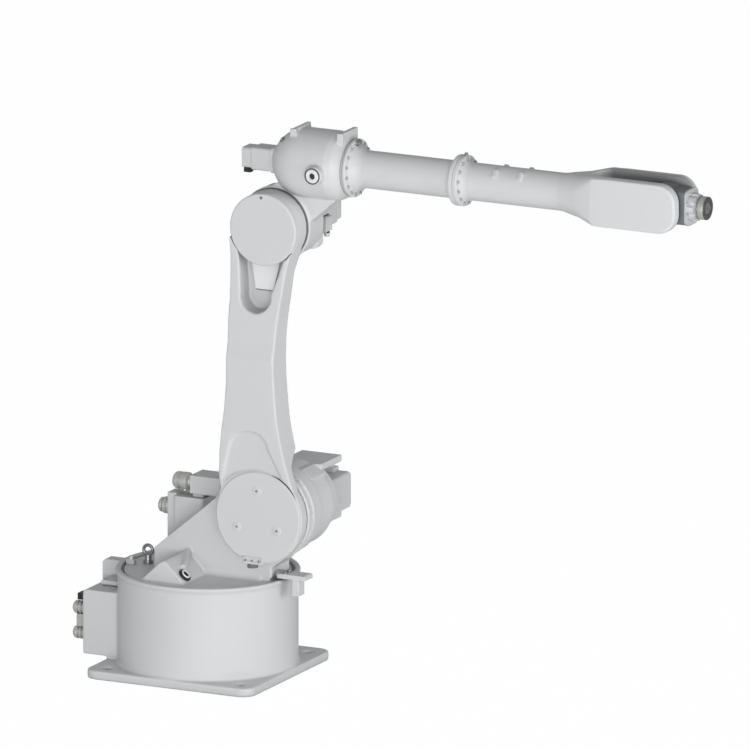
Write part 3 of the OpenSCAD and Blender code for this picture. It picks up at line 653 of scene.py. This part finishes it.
def seal(name, body, centre, along, inner_r, outer_r, width, look="black_rubber"):
    """Lip seal in the gap beside a turning joint, standing on one of its faces, in millimetres."""
    bm = bmesh.new()
    lathe(bm, facing(centre, along), [
        (inner_r * MM, 0), (outer_r * MM - 1 * MM, 0), (outer_r * MM, 1 * MM),
        (outer_r * MM - 1.5 * MM, width * MM), (inner_r * MM, width * MM)], 96, True)
    return joined(name, bm, body, "black_rubber", finish[look])


# the elbow seal is dark grey and also paints the shade in the recess between the arm and the elbow
elbow_gap = ELBOW + Vector((0, 6 * MM, 0))
seal("elbow_seal", "elbow", elbow_gap, NEAR, 89, 101, 5, "paint_wrist")
shoulder_gap = SHOULDER + Vector((0, 6 * MM, 0))
seal("shoulder_seal", "carousel", shoulder_gap, NEAR, 114, 122, 5)
roll_face = Vector((ROLL.x - 6 * MM, 0, ROLL.z))
seal("roll_seal", "elbow", roll_face, FORWARD, 66, 77, 5.2, "painted_screw")
table_rim = Vector((0, 0, 262 * MM))
seal("turntable_seal", "base", table_rim, UP, 228, 233.2, 9, "painted_screw")

# collar over the joint between the forearm and the fork
fork_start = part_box("wrist_fork")[0].x
collar = bmesh.new()
lathe(collar, facing((fork_start, 0, ROLL.z), FORWARD), [
    (45 * MM, -6 * MM), (51.1 * MM, -6 * MM), (51.3 * MM, -1 * MM), (51.9 * MM, 5 * MM),
    (45 * MM, 5 * MM)], 96, True)
joined("fork_collar", collar, "forearm", "paint_arm")


def pocket_shadow_strip():
    """Dark strip under the plate in the arm's pocket: a painted shadow."""
    low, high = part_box("pocket_plate")
    bottom = [v.co.x for v in nodes["pocket_plate"].data.vertices if v.co.z < low.z + 1 * MM]
    bm = bmesh.new()
    first = (min(bottom), high.y - 4 * MM, low.z - 2.4 * MM)
    last = (max(bottom), high.y + 1 * MM, low.z + 0.4 * MM)
    # painted shadow under the plate
    box_at(bm, first, last)
    return joined("pocket_plate_shadow", bm, "lower_arm", "black_rubber")


pocket_shadow_strip()


def cover_edge_shadow():
    """Dark strip at the upper front edge of the shoulder cover, thin at both ends: a painted shadow."""
    low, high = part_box("shoulder_cover")
    inner = (high.x - low.x) / 2 - 0.5 * MM
    seat = Vector((SHOULDER.x, high.y, SHOULDER.z))
    steps = 32
    bm = bmesh.new()
    rows = []
    for k in range(steps + 1):
        angle = math.radians(18 + 42 * k / steps)
        outer = inner + (0.6 + 3 * math.sin(math.pi * k / steps)) * MM
        row = []
        for radius, depth in ((inner, -1.2), (outer, -0.6), (outer, 1.0), (inner, 1.0)):
            way = Vector((math.sin(angle), 0, math.cos(angle)))
            row.append(bm.verts.new(seat + radius * way + Vector((0, depth * MM, 0))))
        rows.append(row)
    for first, second in zip(rows, rows[1:]):
        for k in range(4):
            bm.faces.new((first[k], first[(k + 1) % 4], second[(k + 1) % 4], second[k]))
    bm.faces.new(rows[0])
    bm.faces.new(rows[-1])
    # painted shadow along the cover's edge
    return joined("shoulder_cover_shadow", bm, "lower_arm", "black_rubber")


cover_edge_shadow()


def flange_fitting(name, place, body, radius, height):
    """Small hexagon plug."""
    bm = bmesh.new()
    r, h = radius * MM, height * MM
    lathe(bm, place, [
        (r * 0.9, -2 * MM), (r * 0.9, h * 0.25), (r, h * 0.3, True), (r, h * 0.75, True),
        (r * 0.85, h * 0.8, True), (r * 0.55, h * 0.82), (r * 0.5, h), (r * 0.2, h)])
    return joined(name, bm, body, "bright_metal", finish["screw"])


mid_top = Vector((mid_start + 9 * MM, 3 * MM, ROLL.z + 69 * MM))
flange_fitting("mid_flange_plug", facing(mid_top, UP), "forearm", 5, 8)
root_top = root_face + Vector((0, -6 * MM, 68 * MM))
flange_fitting("root_flange_plug", facing(root_top, (0.8, -0.1, 0.6)), "forearm", 8, 16)
dome_way = Vector((-0.57, -0.45, 0.69)).normalized()
dome_centre = Vector((SHOULDER.x + 76 * MM, 0, ROLL.z))
flange_fitting("dome_plug", facing(dome_centre + dome_way * 94 * MM, dome_way), "elbow", 8, 6)


def motor_joints_and_shade():
    """Thin dark joints between the elbow flange, its gear case and its motor, which also paint the shade in these
    seams.
    """
    bm = bmesh.new()
    grow = 0.7 * MM
    corner = -12 * MM
    for node in ("elbow_gear_case", "elbow_motor"):
        low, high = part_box(node)
        start, end = low.y - 0.2 * MM, low.y + 1.4 * MM
        # thin dark rims: joints with painted shade in them
        for dx, dz in ((grow, corner), (corner, grow)):
            box_at(bm, (low.x - dx, start, low.z - dz), (high.x + dx, end, high.z + dz))
    return joined("motor_joints_and_shade", bm, "elbow", "black_rubber")


def case_box():
    """Connector box on the front of the elbow gear case, with a dark joint behind it that also paints the shade
    around the box, and a plug below.
    """
    low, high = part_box("elbow_gear_case")
    y0, y1 = low.y + 28 * MM, low.y + 70 * MM
    z0, z1 = ELBOW.z - 49 * MM, ELBOW.z - 8 * MM
    # dark rim behind the box and under the plug: a joint with painted shade
    joint = bmesh.new()
    box_at(joint, (high.x - 1 * MM, y0 - 2 * MM, z0 - 2 * MM), (high.x + 2 * MM, y1 + 2 * MM, z1 + 2 * MM))
    plug_place = facing((high.x + 8 * MM, (y0 + y1) / 2, z0), DOWN)
    lathe(joint, plug_place, [(7 * MM, -1 * MM), (7 * MM, 4 * MM), (6 * MM, 4.5 * MM)])
    joined("elbow_box_joint_shade", joint, "elbow", "black_rubber")
    box = bmesh.new()
    box_at(box, (high.x + 1.8 * MM, y0, z0), (high.x + 14 * MM, y1, z1))
    bmesh.ops.bevel(box, geom=box.edges[:], offset=2 * MM, segments=2, affect="EDGES")
    lathe(box, plug_place, [
        (5 * MM, 3 * MM), (8 * MM, 4 * MM), (8 * MM, 12 * MM), (6.5 * MM, 14 * MM), (3 * MM, 14 * MM)])
    joined("elbow_box", box, "elbow", "paint_arm")


motor_joints_and_shade()
case_box()


# Camera
def make_camera():
    azimuth = math.radians(VIEW_AZIMUTH)
    elevation = math.radians(VIEW_ELEVATION)
    back = Vector((math.sin(azimuth) * math.cos(elevation), -math.cos(azimuth) * math.cos(elevation),
                   math.sin(elevation)))
    data = bpy.data.cameras.new("camera")
    data.sensor_width = SENSOR_MM
    data.lens = SENSOR_MM * VIEW_DISTANCE * PX_PER_METRE / IMAGE_SIDE_PX
    data.clip_start = 1.0
    data.clip_end = 2 * VIEW_DISTANCE
    camera = bpy.data.objects.new("camera", data)
    scene.collection.objects.link(camera)
    camera.location = VIEW_TARGET + back * VIEW_DISTANCE
    camera.rotation_mode = "QUATERNION"
    camera.rotation_quaternion = (-back).to_track_quat("-Z", "Y")
    scene.camera = camera


make_camera()


# Studio: pale floor, even sky and two soft lamps
def seen_directly(tree):
    """1 for rays that show the background itself, 0 for the light that falls on the arm."""
    return tree.nodes.new("ShaderNodeLightPath").outputs["Is Camera Ray"]


SKY_TOP = 0.29
SKY_RIM = 0.52
BACKDROP_WHITE = 1.0


def make_world():
    world = bpy.data.worlds.new("studio")
    scene.world = world
    world.use_nodes = True
    tree = world.node_tree
    tree.nodes.clear()
    output = tree.nodes.new("ShaderNodeOutputWorld")
    sky = tree.nodes.new("ShaderNodeBackground")
    sky.inputs["Color"].default_value = (0.98, 0.99, 1.0, 1)
    # dimmer overhead than at the horizon
    direction = tree.nodes.new("ShaderNodeTexCoord")
    parts = tree.nodes.new("ShaderNodeSeparateXYZ")
    tree.links.new(direction.outputs["Generated"], parts.inputs["Vector"])
    tree.links.new(spread(tree, parts.outputs["Z"], SKY_RIM, SKY_TOP, 0.0, 0.8), sky.inputs["Strength"])
    shown = tree.nodes.new("ShaderNodeBackground")
    shown.inputs["Color"].default_value = (1, 1, 1, 1)
    shown.inputs["Strength"].default_value = BACKDROP_WHITE
    mix = tree.nodes.new("ShaderNodeMixShader")
    tree.links.new(seen_directly(tree), mix.inputs["Fac"])
    tree.links.new(sky.outputs["Background"], mix.inputs[1])
    tree.links.new(shown.outputs["Background"], mix.inputs[2])
    tree.links.new(mix.outputs["Shader"], output.inputs["Surface"])


FLOOR_RADIUS = 30.0
FLOOR_SHOWN = 0.99


def make_floor():
    bm = bmesh.new()
    bmesh.ops.create_circle(bm, cap_ends=True, segments=96, radius=FLOOR_RADIUS)
    mesh = bpy.data.meshes.new("floor")
    bm.to_mesh(mesh)
    bm.free()
    floor = bpy.data.objects.new("floor", mesh)
    floor.location = (0, 0, -0.0008)
    scene.collection.objects.link(floor)
    material, tree, shader = new_material("pale_floor")
    shader.inputs["Base Color"].default_value = (0.9, 0.9, 0.9, 1)
    shader.inputs["Roughness"].default_value = 0.9
    shader.inputs["Specular IOR Level"].default_value = 0.0
    glow = tree.nodes.new("ShaderNodeEmission")
    glow.inputs["Color"].default_value = (1, 1, 1, 1)
    glow.inputs["Strength"].default_value = 1.0
    share = tree.nodes.new("ShaderNodeMath")
    share.operation = "MULTIPLY"
    share.inputs[1].default_value = FLOOR_SHOWN
    tree.links.new(seen_directly(tree), share.inputs[0])
    mix = tree.nodes.new("ShaderNodeMixShader")
    tree.links.new(share.outputs["Value"], mix.inputs["Fac"])
    tree.links.new(shader.outputs["BSDF"], mix.inputs[1])
    tree.links.new(glow.outputs["Emission"], mix.inputs[2])
    tree.links.new(mix.outputs["Shader"], tree.nodes["Material Output"].inputs["Surface"])
    mesh.materials.append(material)


def make_lamp(name, target, direction, distance, width, height, share):
    """A soft lamp that gives that share of plain light on a face turned to it at the target."""
    data = bpy.data.lights.new(name, "AREA")
    data.shape = "RECTANGLE"
    data.size = width
    data.size_y = height
    data.energy = share * math.pi ** 2 * distance ** 2
    lamp = bpy.data.objects.new(name, data)
    scene.collection.objects.link(lamp)
    towards = Vector(direction).normalized()
    lamp.location = Vector(target) + towards * distance
    lamp.rotation_mode = "QUATERNION"
    lamp.rotation_quaternion = (-towards).to_track_quat("-Z", "Y")
    lamp.visible_camera = False


make_world()
make_floor()
make_lamp("key", target=(0.25, -0.1, 0.6), direction=(0.38, -0.92, 0.03), distance=12.0,
          width=8.0, height=5.0, share=0.82)
make_lamp("side", target=(0.3, 0, 0.9), direction=(0.98, -0.15, 0.1), distance=8.0,
          width=2.5, height=2.5, share=0.26)
scene.view_settings.view_transform = "Standard"
